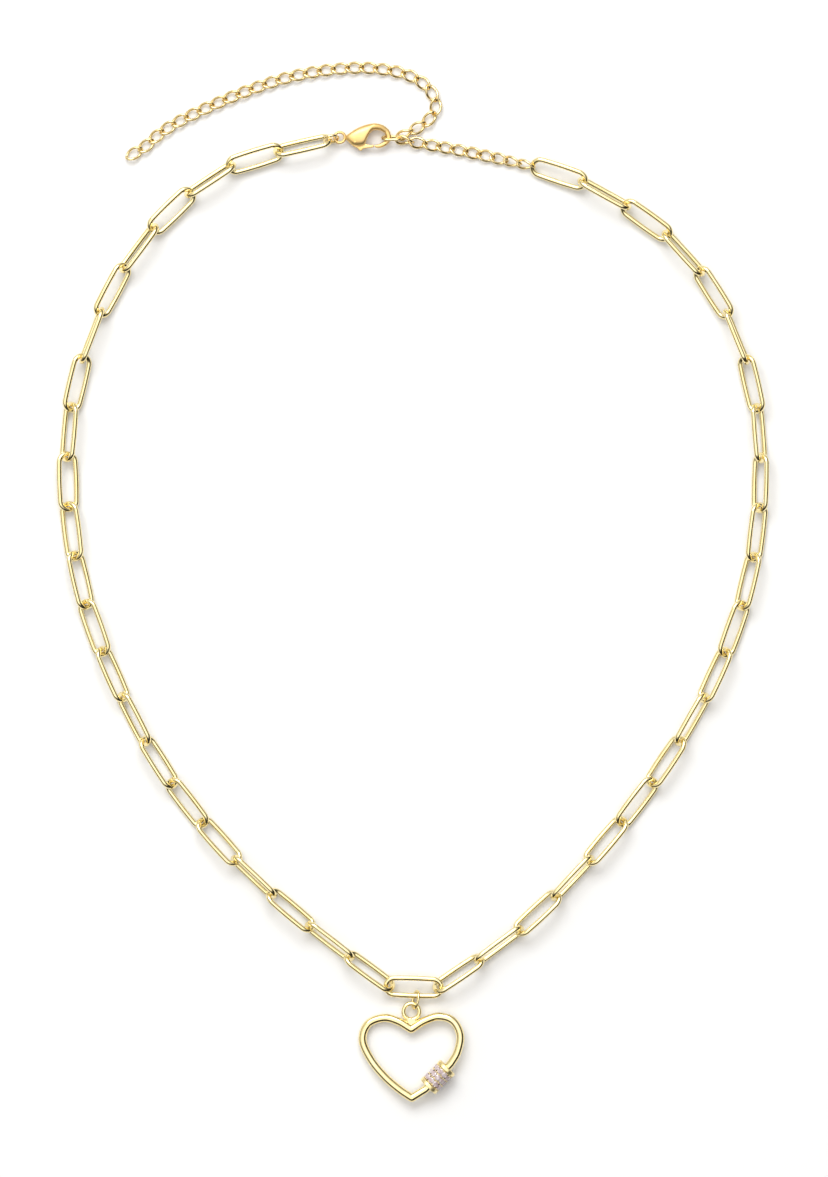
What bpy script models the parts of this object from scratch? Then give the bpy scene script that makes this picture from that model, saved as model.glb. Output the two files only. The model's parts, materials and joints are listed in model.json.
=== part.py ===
"""Pendant necklace: a paperclip-link chain with a lobster clasp, a curb-link extender and an open heart
pendant whose screw barrel is set with stones.

The necklace lies flat on a table: +X to its right, +Y from the pendant towards the clasp, +Z up off the
table, with the origin at the middle of its outline, at table height. All sizes below are in millimetres,
and each mesh is written in metres.
"""

import math

import bmesh
import bpy
from mathutils import Matrix, Vector

MM = 0.001
TABLE_GAP = 0.02  # air left under the pieces that only just touch the table
UP = Vector((0, 0, 1))

# Paperclip links
LINK_WIRE = 0.95  # wire diameter
LINK_LENGTH = 11.1  # outside
LINK_WIDTH = 4.1  # outside
LINK_PITCH = 9.05  # from one junction to the next, with 0.15 mm of play
LINK_BOW = 0.05  # how much wider a link is at its middle than at its shoulders
LINK_SIDES = 6
LINK_END_POINTS = 6

# Junctions that the two arms pass through, from the centre link outwards
LEFT_ARM = (
    (-4.35, -73.45), (-18.8, -62.6), (-32.8, -50.0), (-44.7, -35.4), (-53.5, -19.5), (-60.0, -2.3),
    (-62.8, 15.4), (-62.0, 32.8), (-56.6, 49.5), (-47.6, 63.8), (-33.9, 75.2), (-16.0, 80.2),
)
RIGHT_ARM = (
    (4.45, -73.75), (19.4, -63.1), (33.1, -49.3), (45.2, -33.8), (54.5, -17.8), (60.8, -0.5),
    (63.1, 16.9), (62.0, 34.0), (56.5, 49.6), (46.0, 63.1), (31.0, 72.6), (21.9, 75.7),
)
# How far each link leans over about its own length, in degrees, from the centre link outwards. The lean
# changes side from link to link, so that neighbours cross at 56 degrees or more.
CENTRE_LEAN = -13
LEFT_LEANS = (
    52, -65, 47, -70, 37, -37, 45, -55, 47, -31, 42, -34, 24, -52, 34, -80, 42, -65, 31, -67, 31, -55,
)
RIGHT_LEANS = (
    -54, 67, -42, 67, -42, 37, -42, 59, -47, 37, -47, 42, -51, 59, -42, 80, -42, 65, -34, 69, -28,
)

# Curb links of the extender
CURB_WIRE = 0.5
CURB_LENGTH = 3.2  # along the wire's centre line
CURB_WIDTH = 1.85  # across the wire's centre line
CURB_TWIST = 45  # turn of each end about the link's length, in degrees
CURB_SIDES = 5
CURB_POINTS = 8
SOLDER_RADIUS = 0.3
# The front run goes from the hooked link to the right arm, and the tail lies loose round the clasp
RUN_ROUTE = ((-1.6, 80.22), (5.7, 79.0), (13.2, 77.5), (19.9, 75.95))
RUN_PITCH = 2.5
RUN_LEANS = ((55, 20, 0, 0, 0), (0, 0, 22, 45, 52))
RUN_HEIGHTS = (1.38, 1.05, 0.75, 0.68, 0.68, 0.68, 0.7, 0.9, 1.15, 1.4)
TAIL_ROUTE = (
    (-1.5, 81.47), (0.7, 82.55), (2.6, 83.9), (4.0, 85.9), (3.6, 88.4), (1.9, 90.6), (-2.6, 92.7),
    (-10.7, 93.5), (-21.4, 92.1), (-31.6, 88.8), (-41.4, 84.4), (-45.9, 81.7), (-49.8, 78.4), (-52.4, 77.6),
)
TAIL_PITCH = 2.57
TAIL_GROUPS = 4
TAIL_GROUP_LINKS = 7
TAIL_LEANS = (52, 20)
TAIL_HEIGHTS = (1.02, 0.95, 0.7, 0.68)
HOOKED_LINK_CENTRE = (-3.92, 80.7)
HOOKED_LINK_LENGTH = 3.48  # along the wire's centre line
HOOKED_LINK_LEAN = -68

# Lobster clasp: outlines in the table's plane, measured from CLASP_CENTRE
CLASP_CENTRE = (-8.09, 80.9)
CLASP_THICKNESS = 2.5
CLASP_MIDDLE = CLASP_THICKNESS / 2
CLASP_OUTER = (
    (-4.35, 0.1), (-3.75, 0.4), (-2.9, 1.1), (-1.45, 1.9), (0.0, 2.35), (1.36, 2.45), (2.73, 2.05),
    (3.73, 1.13), (4.05, 0.0), (3.64, -1.1), (2.55, -1.85), (1.45, -2.05), (1.0, -1.85),
)
CLASP_EYE = (
    (1.05, -1.44), (1.85, -1.32), (2.65, -0.88), (3.12, -0.05), (2.86, 0.67), (2.15, 1.13), (1.27, 1.27),
    (0.45, 0.98), (-0.18, 0.1), (-0.58, -0.9), (-0.85, -1.5),
)
CLASP_HEEL = ((-1.5, -1.75), (-2.3, -1.75), (-3.05, -1.45), (-3.75, -0.7), (-4.35, -0.35))
HOOK_THICKNESS = 0.9
HOOK_TAPER = (1.0, 2.85)  # the body thins between these distances from CLASP_CENTRE
SLOT_HEIGHT = 1.1
SLOT_BOX = ((-3.2, -3.2), (1.0, 0.15))
RIVET_AT = (-2.5, -0.95)
RIVET_RADIUS = 0.3
RIVET_HOLE = 0.38
LEVER_THICKNESS = 0.6
LEVER_OUTLINE = (
    (-3.05, -0.85), (-2.6, -0.4), (-2.0, -0.45), (-0.9, -1.1), (0.1, -1.45), (0.84, -1.45), (0.84, -1.88),
    (0.0, -2.0), (-1.05, -2.15), (-1.35, -2.5), (-1.75, -2.45), (-2.05, -2.1), (-2.85, -1.7), (-3.1, -1.25),
)
SPRING_RADIUS = 0.58
SPRING_THICKNESS = 0.14
CLASP_LOOP_AT = (-13.4, 80.8)
CLASP_LOOP_RADIUS = 0.95
CLASP_LOOP_WIRE = 0.5
CLASP_RING_AT = (-14.96, 80.5, 1.5)
CLASP_RING_RADIUS = 1.25
CLASP_RING_WIRE = 0.5
CLASP_RING_LEAN = 65

# Heart pendant: the wire's centre line in the table's plane, starting at the stud under the barrel
HEART_WIRE = 1.5
BARREL_AT = Vector((4.42, -89.95, 0))
BARREL_ALONG = Vector((1, 1, 0)).normalized()
STUD_END = 0.9
SOCKET_END = 2.15
ENTRY_AT = 3.2  # where the wire turns straight for the stud, short of the barrel
HEART_TIP = (-0.3, -93.75)
HEART_NOTCH = (-0.38, -81.3)
HEART_LEFT = (
    HEART_TIP, (-2.6, -92.2), (-5.2, -89.95), (-7.7, -86.9), (-9.25, -83.4), (-8.3, -80.45), (-5.5, -79.3),
    (-2.9, -79.85), HEART_NOTCH,
)
HEART_RIGHT = (
    HEART_NOTCH, (2.0, -79.8), (4.6, -79.0), (7.2, -79.8), (8.5, -82.4), (8.0, -85.4), (6.85, -87.45),
)
HEART_SIDES = 10
HEART_STEP = 0.9
BAIL_AT = (-0.38, -78.1)
BAIL_RADIUS = 1.45
BAIL_WIRE = 0.75
BAIL_FOOT = (-0.38, -80.1)
BAIL_FOOT_RADIUS = 0.6
# The heart leans on its barrel: heights of the wire's centre at the bail, and its rise along X and Y
HEART_HEIGHT = 1.3
HEART_RISE_X = 0.055
HEART_RISE_Y = -0.0505
BARREL_LENGTH = 5.1
BARREL_RADIUS = 1.92
BARREL_BORE = 0.95
FLANGE_LENGTH = 0.75
RECESS_RADIUS = 1.5
BAND_GAP = 0.06
BARREL_SIDES = 20
PENDANT_RING_AT = (0.38, -75.97, 1.27)
PENDANT_RING_ALONG = (-0.2, -1.0, 0)
PENDANT_RING_HALF = (1.59, 1.1)
PENDANT_RING_LEAN = 65
PENDANT_RING_WIRE = 0.5

GOLD = (0.93, 0.78, 0.42, 1)
WARM_GOLD = (0.92, 0.70, 0.34, 1)
STEEL = (0.62, 0.61, 0.58, 1)
STONE = (0.86, 0.78, 0.78, 1)


def clear_scene():
    for obj in list(bpy.data.objects):
        bpy.data.objects.remove(obj, do_unlink=True)


def material(name, colour, metallic, roughness):
    made = bpy.data.materials.new(name)
    made.use_nodes = True
    shader = made.node_tree.nodes["Principled BSDF"]
    shader.inputs["Base Color"].default_value = colour
    shader.inputs["Metallic"].default_value = metallic
    shader.inputs["Roughness"].default_value = roughness
    return made


def new_object(name, bm, finish=(GOLD, 1.0, 0.2)):
    """An object of a bmesh made in millimetres, with its own material and smooth round sides."""
    bmesh.ops.recalc_face_normals(bm, faces=bm.faces)
    bmesh.ops.scale(bm, vec=(MM, MM, MM), verts=bm.verts)
    mesh = bpy.data.meshes.new(name)
    bm.to_mesh(mesh)
    bm.free()
    mesh.shade_smooth()
    mesh.set_sharp_from_angle(angle=math.radians(50))
    mesh.materials.append(material(name, *finish))
    obj = bpy.data.objects.new(name, mesh)
    bpy.context.scene.collection.objects.link(obj)
    return obj


def helper(obj):
    """A cutter or a piece that a union takes in: it stays out of the model."""
    obj.hide_render = True
    obj.display_type = "WIRE"
    return obj


def boolean(obj, other, operation):
    step = obj.modifiers.new(f"{operation.lower()} {other.name}", "BOOLEAN")
    step.operation = operation
    step.solver = "EXACT"
    step.object = helper(other)


def smooth_route(points, steps=24):
    """Points along a smooth curve through the given ones (Catmull-Rom)."""
    knots = [Vector(p).to_3d() for p in points]
    knots = [2 * knots[0] - knots[1], *knots, 2 * knots[-1] - knots[-2]]
    route = []
    for a, b, c, d in zip(knots, knots[1:], knots[2:], knots[3:]):
        for i in range(steps):
            t = i / steps
            route.append(
                0.5 * (2 * b + (c - a) * t + (2 * a - 5 * b + 4 * c - d) * t**2
                       + (3 * b - a - 3 * c + d) * t**3)
            )
    return [*route, knots[-2]]


def walk(route, spacings):
    """The route's first point, then one point for each spacing, each that far from the one before."""
    found, i = [route[0]], 0
    end = route[-1] + (route[-1] - route[-2]).normalized() * 50
    route = [*route, end]
    for spacing in spacings:
        here = found[-1]
        while (route[i + 1] - here).length < spacing:
            i += 1
        a, b = route[i], route[i + 1]
        low, high = 0.0, 1.0
        for _ in range(40):
            middle = (low + high) / 2
            if (a.lerp(b, middle) - here).length < spacing:
                low = middle
            else:
                high = middle
        found.append(a.lerp(b, high))
    return found


def even_route(points, step):
    """A smooth curve through the points, as points about one step apart, its two ends among them."""
    route = smooth_route([(x, y, 0) for x, y in points])
    length = sum((b - a).length for a, b in zip(route, route[1:]))
    count = round(length / step)
    return [*walk(route, [length / count] * (count - 1)), route[-1]]


def axes(direction, lean):
    """Rotation whose X runs along direction and whose Y leans by lean degrees out of the level."""
    along = direction.normalized()
    level = UP.cross(along).normalized()
    across = Matrix.Rotation(math.radians(lean), 3, along) @ level
    return Matrix((along, across, along.cross(across))).transposed()


def oval(length, width, end_points, bow=0.0):
    """Centre line of an oval: half circles joined by sides that bow out a little, in the XY plane."""
    radius, straight = width / 2, (length - width) / 2
    points = []
    for side in (1, -1):
        for i in range(end_points):
            turn = math.pi * (i / (end_points - 1) - 0.5)
            x, y = straight + radius * math.cos(turn), radius * math.sin(turn)
            points.append(Vector((side * x, side * y, 0)))
        if bow:
            points.append(Vector((0, side * radius * (1 + bow), 0)))
    return points


def curb_oval(points=CURB_POINTS, twist=CURB_TWIST, start=0.0, end=360.0, closed=True):
    """Centre line of a curb link: an oval, with its ends twisted opposite ways about its length."""
    line = []
    for i in range(points):
        turn = math.radians(start + (end - start) * (i / points if closed else i / (points - 1)))
        x, y = math.cos(turn), CURB_WIDTH / 2 * math.sin(turn)
        tilt = math.radians(twist) * x
        line.append(Vector((x * CURB_LENGTH / 2, y * math.cos(tilt), y * math.sin(tilt))))
    return line


def tube(bm, line, radius, sides, closed=True, outward=None, mitred=False):
    """Sweeps a round wire along a line. outward(point) gives the direction that the section keeps to, and
    mitred widens the section at a corner, so that the wire keeps its thickness there."""
    rings = []
    count = len(line)
    for i, point in enumerate(line):
        before = line[i - 1] if closed or i else point
        after = line[(i + 1) % count] if closed or i < count - 1 else point
        along = (after - before).normalized()
        if mitred and before != point != after:
            along = ((after - point).normalized() + (point - before).normalized()).normalized()
        side = outward(point)
        side = (side - side.dot(along) * along).normalized()
        top = along.cross(side)
        if mitred and before != point != after:
            top /= along.dot((after - point).normalized())
        rings.append([
            bm.verts.new(point + radius * (math.cos(a) * side + math.sin(a) * top))
            for a in (2 * math.pi * k / sides for k in range(sides))
        ])
    pairs = zip(rings, rings[1:] + rings[:1]) if closed else zip(rings, rings[1:])
    for ring, following in pairs:
        for k in range(sides):
            bm.faces.new((ring[k], ring[k - 1], following[k - 1], following[k]))
    if not closed:
        bm.faces.new(rings[0])
        bm.faces.new(rings[-1][::-1])


def wire_loop(name, line, wire, sides, place, turn, finish=(GOLD, 1.0, 0.2)):
    """A closed ring of wire, turned and moved to its place."""
    bm = bmesh.new()
    tube(bm, [turn @ p + place for p in line], wire / 2, sides, outward=lambda p: p - place)
    return new_object(name, bm, finish)


def paperclip_heights(leans):
    """Height of each junction: each link's lower side just clears the table at both of its ends."""
    reach = (LINK_WIDTH - LINK_WIRE) / 2 * (1 + LINK_BOW)
    needed = [reach * abs(math.sin(math.radians(lean))) + LINK_WIRE / 2 + TABLE_GAP for lean in leans]
    return [max(a, b) for a, b in zip([needed[0], *needed], [*needed, needed[-1]])]


def paperclip(name, start, end, lean):
    line = oval(LINK_LENGTH - LINK_WIRE, LINK_WIDTH - LINK_WIRE, LINK_END_POINTS, LINK_BOW)
    return wire_loop(name, line, LINK_WIRE, LINK_SIDES, (start + end) / 2, axes(end - start, lean))


def build_arm(names, route, leans):
    """One arm of the chain, from the centre link outwards. Returns its junctions."""
    spots = walk(smooth_route(route), [LINK_PITCH] * len(leans))
    heights = paperclip_heights([CENTRE_LEAN, *leans])[1:]
    for spot, height in zip(spots, heights):
        spot.z = height
    for name, start, end, lean in zip(names, spots, spots[1:], leans):
        paperclip(name, start, end, lean)
    return spots


def curb_link_object(name, centre, direction, lean, opened=False):
    """One curb link. An opened one ends in two arms that stop short, above and below what it holds."""
    turn = axes(direction, lean)
    if not opened:
        return wire_loop(name, curb_oval(), CURB_WIRE, CURB_SIDES, centre, turn, (GOLD, 1.0, 0.25))
    line = curb_oval(points=CURB_POINTS - 1, start=72, end=288, closed=False)
    bm = bmesh.new()
    tube(bm, [turn @ p + centre for p in line], CURB_WIRE / 2, CURB_SIDES, False, lambda p: p - centre)
    return new_object(name, bm, (GOLD, 1.0, 0.25))


def solder(name, place):
    bm = bmesh.new()
    bmesh.ops.create_icosphere(bm, subdivisions=1, radius=SOLDER_RADIUS, matrix=Matrix.Translation(place))
    return new_object(name, bm)


def curb_chain(names, route, pitch, groups, first_height, last_opened=False):
    """Curb links along a route, in rigid groups: the links of a group are joined where they cross, and
    neighbouring groups only hook through each other."""
    leans = [lean for group in groups for lean in group]
    spots = walk(smooth_route(route), [pitch] * (len(leans) - 1))
    for spot, height in zip(spots, first_height + [first_height[-1]] * len(spots)):
        spot.z = height
    ways = [b - a for a, b in zip(spots, spots[1:])]
    ways = [ways[0], *[(a + b) for a, b in zip(ways, ways[1:])], ways[-1]]
    i = 0
    for name, group in zip(names, groups):
        for k, lean in enumerate(group):
            last = last_opened and i == len(leans) - 1
            piece = curb_link_object(name if k == 0 else f"{name}_{k}", spots[i], ways[i], lean, last)
            if k == 0:
                whole = piece
            else:
                boolean(whole, piece, "UNION")
                boolean(whole, solder(f"{name}_joint_{k}", (spots[i - 1] + spots[i]) / 2), "UNION")
            i += 1


def build_extender():
    hooked = Vector((*HOOKED_LINK_CENTRE, CLASP_MIDDLE))
    line = oval(HOOKED_LINK_LENGTH, CURB_WIDTH, 5)
    turn = axes(Vector((1, 0, 0)), HOOKED_LINK_LEAN)
    wire_loop("extender_hooked_link", line, CURB_WIRE, CURB_SIDES, hooked, turn, (GOLD, 1.0, 0.25))
    curb_chain(("extender_run_inner", "extender_run_outer"), RUN_ROUTE, RUN_PITCH, RUN_LEANS,
               list(RUN_HEIGHTS), last_opened=True)
    leans = [*TAIL_LEANS] + [0] * (TAIL_GROUPS * TAIL_GROUP_LINKS - len(TAIL_LEANS))
    groups = [leans[i:i + TAIL_GROUP_LINKS] for i in range(0, len(leans), TAIL_GROUP_LINKS)]
    names = [f"extender_tail_{i + 1}" for i in range(TAIL_GROUPS)]
    curb_chain(names, TAIL_ROUTE, TAIL_PITCH, groups, list(TAIL_HEIGHTS))


def prism(name, outline, low, high, finish=(WARM_GOLD, 1.0, 0.3)):
    """A flat plate with the given outline, between two heights."""
    bm = bmesh.new()
    face = bm.faces.new([bm.verts.new((x, y, low)) for x, y in outline])
    raised = bmesh.ops.extrude_face_region(bm, geom=[face])["geom"]
    tops = [v for v in raised if isinstance(v, bmesh.types.BMVert)]
    bmesh.ops.translate(bm, vec=(0, 0, high - low), verts=tops)
    return new_object(name, bm, finish)


def on_clasp(outline):
    return [(x + CLASP_CENTRE[0], y + CLASP_CENTRE[1]) for x, y in outline]


def cylinder(name, x, y, low, high, radius, sides=16, finish=(WARM_GOLD, 1.0, 0.3)):
    turns = (2 * math.pi * k / sides for k in range(sides))
    outline = [(x + radius * math.cos(a), y + radius * math.sin(a)) for a in turns]
    return prism(name, outline, low, high, finish)


def add_bevel(obj, width, segments=1):
    bevel = obj.modifiers.new("rounded edges", "BEVEL")
    bevel.width = width * MM
    bevel.segments = segments
    bevel.limit_method = "ANGLE"
    bevel.angle_limit = math.radians(50)


def hook_wedge(name, side):
    """Cutter that thins the hook from one side (+1 above, -1 below) of the clasp's middle."""
    near, far = (CLASP_CENTRE[0] + x for x in HOOK_TAPER)
    thin, thick = HOOK_THICKNESS / 2, CLASP_THICKNESS / 2 + 1.0
    top = CLASP_THICKNESS / 2 + 0.01
    profile = [(near, top), (far, thin), (far + 3, thin), (far + 3, thick), (near, thick)]
    bm = bmesh.new()
    base = CLASP_CENTRE[1] - 5
    face = bm.faces.new([bm.verts.new((x, base, CLASP_MIDDLE + side * z)) for x, z in profile])
    raised = bmesh.ops.extrude_face_region(bm, geom=[face])["geom"]
    ends = [v for v in raised if isinstance(v, bmesh.types.BMVert)]
    bmesh.ops.translate(bm, vec=(0, 10, 0), verts=ends)
    return new_object(name, bm)


def build_clasp():
    outline = on_clasp((*CLASP_OUTER, *CLASP_EYE, *CLASP_HEEL))
    body = prism("clasp_body", outline[::-1], 0, CLASP_THICKNESS)
    add_bevel(body, 0.35, 2)
    for side, word in ((1, "top"), (-1, "underside")):
        boolean(body, hook_wedge(f"hook_{word}_cut", side), "DIFFERENCE")
    (x0, y0), (x1, y1) = SLOT_BOX
    slot = on_clasp(((x0, y0), (x1, y0), (x1, y1), (x0, y1)))
    low, high = CLASP_MIDDLE - SLOT_HEIGHT / 2, CLASP_MIDDLE + SLOT_HEIGHT / 2
    boolean(body, prism("lever_slot_cut", slot, low, high), "DIFFERENCE")
    (rivet_x, rivet_y), = on_clasp((RIVET_AT,))
    hole = cylinder("rivet_hole_cut", rivet_x, rivet_y, -1, CLASP_THICKNESS + 1, RIVET_HOLE)
    boolean(body, hole, "DIFFERENCE")
    loop = oval(2 * CLASP_LOOP_RADIUS, 2 * CLASP_LOOP_RADIUS, 7)
    middle = Vector((*CLASP_LOOP_AT, CLASP_MIDDLE))
    ring = wire_loop("clasp_end_loop", loop, CLASP_LOOP_WIRE, 8, middle, axes(Vector((1, 0, 0)), 0))
    boolean(body, ring, "UNION")

    lever_low, lever_high = CLASP_MIDDLE - LEVER_THICKNESS / 2, CLASP_MIDDLE + LEVER_THICKNESS / 2
    lever = prism("clasp_lever", on_clasp(LEVER_OUTLINE)[::-1], lever_low, lever_high)
    hole = cylinder("lever_hole_cut", rivet_x, rivet_y, -1, CLASP_THICKNESS + 1, RIVET_HOLE)
    boolean(lever, hole, "DIFFERENCE")
    cylinder("clasp_rivet", rivet_x, rivet_y, 0.05, CLASP_THICKNESS - 0.05, RIVET_RADIUS)
    base = lever_high + 0.05
    spring = cylinder("clasp_spring", rivet_x, rivet_y, base, base + SPRING_THICKNESS, SPRING_RADIUS,
                      finish=(STEEL, 1.0, 0.35))
    hole = cylinder("spring_hole_cut", rivet_x, rivet_y, 0, CLASP_THICKNESS, RIVET_HOLE)
    boolean(spring, hole, "DIFFERENCE")

    ring_line = oval(2 * CLASP_RING_RADIUS, 2 * CLASP_RING_RADIUS, 8)
    along = Vector((*CLASP_LOOP_AT, 0)) - Vector((CLASP_RING_AT[0], CLASP_RING_AT[1], 0))
    wire_loop("clasp_jump_ring", ring_line, CLASP_RING_WIRE, 6, Vector(CLASP_RING_AT),
              axes(along, CLASP_RING_LEAN), (WARM_GOLD, 1.0, 0.22))


def heart_height(point):
    return HEART_HEIGHT + HEART_RISE_X * (point.x - BAIL_AT[0]) + HEART_RISE_Y * (point.y - BAIL_AT[1])


def on_heart(point):
    """A point of the heart's outline, raised to the leaning plane that the heart lies in."""
    raised = Vector((point[0], point[1], 0))
    raised.z = heart_height(raised)
    return raised


def barrel_axes():
    here, there = on_heart(BARREL_AT), on_heart(BARREL_AT + BARREL_ALONG)
    return axes(there - here, 0)


def turned(name, profile, sides, finish):
    """A closed body of revolution about the barrel's axis, from (distance along it, radius) points."""
    bm = bmesh.new()
    rings = []
    for along, radius in profile:
        rings.append([
            bm.verts.new((along, radius * math.cos(a), radius * math.sin(a)))
            for a in (2 * math.pi * k / sides for k in range(sides))
        ])
    for ring, following in zip(rings, rings[1:] + rings[:1]):
        for k in range(sides):
            bm.faces.new((ring[k], ring[k - 1], following[k - 1], following[k]))
    place = Matrix.Translation(on_heart(BARREL_AT)) @ barrel_axes().to_4x4()
    bmesh.ops.transform(bm, matrix=place, verts=bm.verts)
    return new_object(name, bm, finish)


def build_pendant():
    stud = BARREL_AT + BARREL_ALONG * STUD_END
    socket = BARREL_AT + BARREL_ALONG * SOCKET_END
    entry = BARREL_AT - BARREL_ALONG * ENTRY_AT
    right = even_route(HEART_RIGHT[::-1], HEART_STEP)
    left = even_route(HEART_LEFT[::-1], HEART_STEP)
    line = [on_heart(p) for p in (socket, *right, *left[1:], entry, stud)]
    bm = bmesh.new()
    normal = Vector((-HEART_RISE_X, -HEART_RISE_Y, 1)).normalized()
    tube(bm, line, HEART_WIRE / 2, HEART_SIDES, False, lambda p: normal, mitred=True)
    heart = new_object("heart_frame", bm, (GOLD, 1.0, 0.15))
    place = on_heart(BAIL_AT)
    ring_line = oval(2 * BAIL_RADIUS, 2 * BAIL_RADIUS, 7)
    ring = wire_loop("bail_ring", ring_line, BAIL_WIRE, 8, place, axes(Vector((1, 0, 0)), 0))
    boolean(heart, ring, "UNION")
    foot = bmesh.new()
    bmesh.ops.create_icosphere(foot, subdivisions=2, radius=BAIL_FOOT_RADIUS,
                               matrix=Matrix.Translation(on_heart(BAIL_FOOT)))
    boolean(heart, new_object("bail_foot", foot), "UNION")

    half, inner = BARREL_LENGTH / 2, BARREL_LENGTH / 2 - FLANGE_LENGTH
    sleeve = ((-half, BARREL_BORE), (-half, BARREL_RADIUS), (-inner, BARREL_RADIUS), (-inner, RECESS_RADIUS),
              (inner, RECESS_RADIUS), (inner, BARREL_RADIUS), (half, BARREL_RADIUS), (half, BARREL_BORE))
    turned("screw_sleeve", sleeve, BARREL_SIDES, (GOLD, 1.0, 0.2))
    edge, floor = inner - BAND_GAP, RECESS_RADIUS + BAND_GAP
    band = ((-edge, floor), (-edge, BARREL_RADIUS - 0.05), (edge, BARREL_RADIUS - 0.05), (edge, floor))
    turned("stone_band", band, BARREL_SIDES, (STONE, 0.0, 0.1))

    ring = oval(2 * PENDANT_RING_HALF[0], 2 * PENDANT_RING_HALF[1], 6)
    wire_loop("pendant_jump_ring", ring, PENDANT_RING_WIRE, 6, Vector(PENDANT_RING_AT),
              axes(Vector(PENDANT_RING_ALONG), PENDANT_RING_LEAN))


def main():
    clear_scene()
    left_names = [f"link_left_{22 - i:02d}" for i in range(22)]
    right_names = [f"link_right_{i + 1:02d}" for i in range(21)]
    left = build_arm(left_names, LEFT_ARM, LEFT_LEANS)
    right = build_arm(right_names, RIGHT_ARM, RIGHT_LEANS)
    paperclip("centre_link", left[0], right[0], -CENTRE_LEAN)
    build_clasp()
    build_extender()
    build_pendant()


main()
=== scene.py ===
"""The looks of the pendant necklace: polished gold paperclip links, curb-link extender, cast lobster clasp
and an open heart pendant with a stone-set screw barrel, on a pale floor under soft studio light.

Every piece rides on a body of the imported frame. The camera and the lights are placed in metres. All else is
in millimetres, until MM turns it into metres.
"""

import json
import math

import bmesh
import bpy
import numpy as np
from mathutils import Matrix, Vector


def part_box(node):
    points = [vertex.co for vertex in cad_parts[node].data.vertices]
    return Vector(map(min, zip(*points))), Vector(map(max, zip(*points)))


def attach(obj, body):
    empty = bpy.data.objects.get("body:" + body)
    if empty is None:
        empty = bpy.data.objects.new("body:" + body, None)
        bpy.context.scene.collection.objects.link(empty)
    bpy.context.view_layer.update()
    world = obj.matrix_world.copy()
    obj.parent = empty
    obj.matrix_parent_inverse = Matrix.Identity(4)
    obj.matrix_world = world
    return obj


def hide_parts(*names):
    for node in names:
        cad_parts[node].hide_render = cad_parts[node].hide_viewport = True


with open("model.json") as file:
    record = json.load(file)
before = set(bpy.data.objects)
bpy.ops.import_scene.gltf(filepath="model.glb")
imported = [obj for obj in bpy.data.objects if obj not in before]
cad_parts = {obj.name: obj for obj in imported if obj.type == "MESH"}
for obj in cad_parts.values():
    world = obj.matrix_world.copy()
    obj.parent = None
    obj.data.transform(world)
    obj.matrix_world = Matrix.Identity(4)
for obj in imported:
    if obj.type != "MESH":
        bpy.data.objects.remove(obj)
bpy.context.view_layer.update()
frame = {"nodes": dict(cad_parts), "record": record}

MM = 0.001
UP = Vector((0, 0, 1))

# Camera: straight above the necklace, far enough away to look flat
CAMERA_AT = Vector((0.0001, -0.0012, 1.2))
VIEW_HEIGHT = 0.2140  # height of what the camera sees, at the necklace
NECKLACE_LEVEL = 0.0012
SENSOR = 36.0
CLIP = (0.01, 20)

# Studio: a dome of light, brightest towards one side and falling off into dark away from it
BRIGHT_SIDE = (-0.25, 0.38, 0.92)
# Cosine of the angle from the bright side, and the dome's brightness there
STUDIO_STOPS = ((0.0, 0.03), (0.34, 0.05), (0.52, 0.5), (0.70, 0.92), (1.0, 1.0))
STUDIO_TINT = (1, 0.97, 0.93)
STUDIO_STRENGTH = 0.96

# Floor, in millimetres
FLOOR_LEVEL = -0.03
FLOOR_HALF = 1500

NOISE_RANGE = (0.3, 0.7)  # noise values outside this are held at its ends
RIPPLE_HEIGHT = 0.00002  # metres

# Wires, in millimetres
LINK_WIRE = 0.95
LINK_LENGTH = 11.1
LINK_WIDTH = 4.1
LINK_BOW = 0.05
CURB_WIRE = 0.5
CURB_LENGTH = 3.2
CURB_WIDTH = 1.85
CURB_TWIST = 45

# Extender: routes, spacing and heights of its links, as in the solid model
RUN_ROUTE = ((-1.6, 80.22), (5.7, 79.0), (13.2, 77.5), (19.9, 75.95))
RUN_PITCH = 2.5
RUN_LEANS = (55, 20, 0, 0, 0, 0, 0, 22, 45, 52)
RUN_HEIGHTS = (1.38, 1.05, 0.75, 0.68, 0.68, 0.68, 0.7, 0.9, 1.15, 1.4)
RUN_GROUP = 5
TAIL_ROUTE = (
    (-1.5, 81.47), (0.7, 82.55), (2.6, 83.9), (4.0, 85.9), (3.6, 88.4), (1.9, 90.6), (-2.6, 92.7),
    (-10.7, 93.5), (-21.4, 92.1), (-31.6, 88.8), (-41.4, 84.4), (-45.9, 81.7), (-49.8, 78.4), (-52.4, 77.6),
)
TAIL_PITCH = 2.57
TAIL_COUNT = 28
TAIL_GROUP = 7
TAIL_LEANS = (52, 20)
TAIL_HEIGHTS = (1.02, 0.95, 0.7, 0.68)
HOOKED_LINK_LENGTH = 3.48
HOOKED_LINK_LEAN = -68

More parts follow.
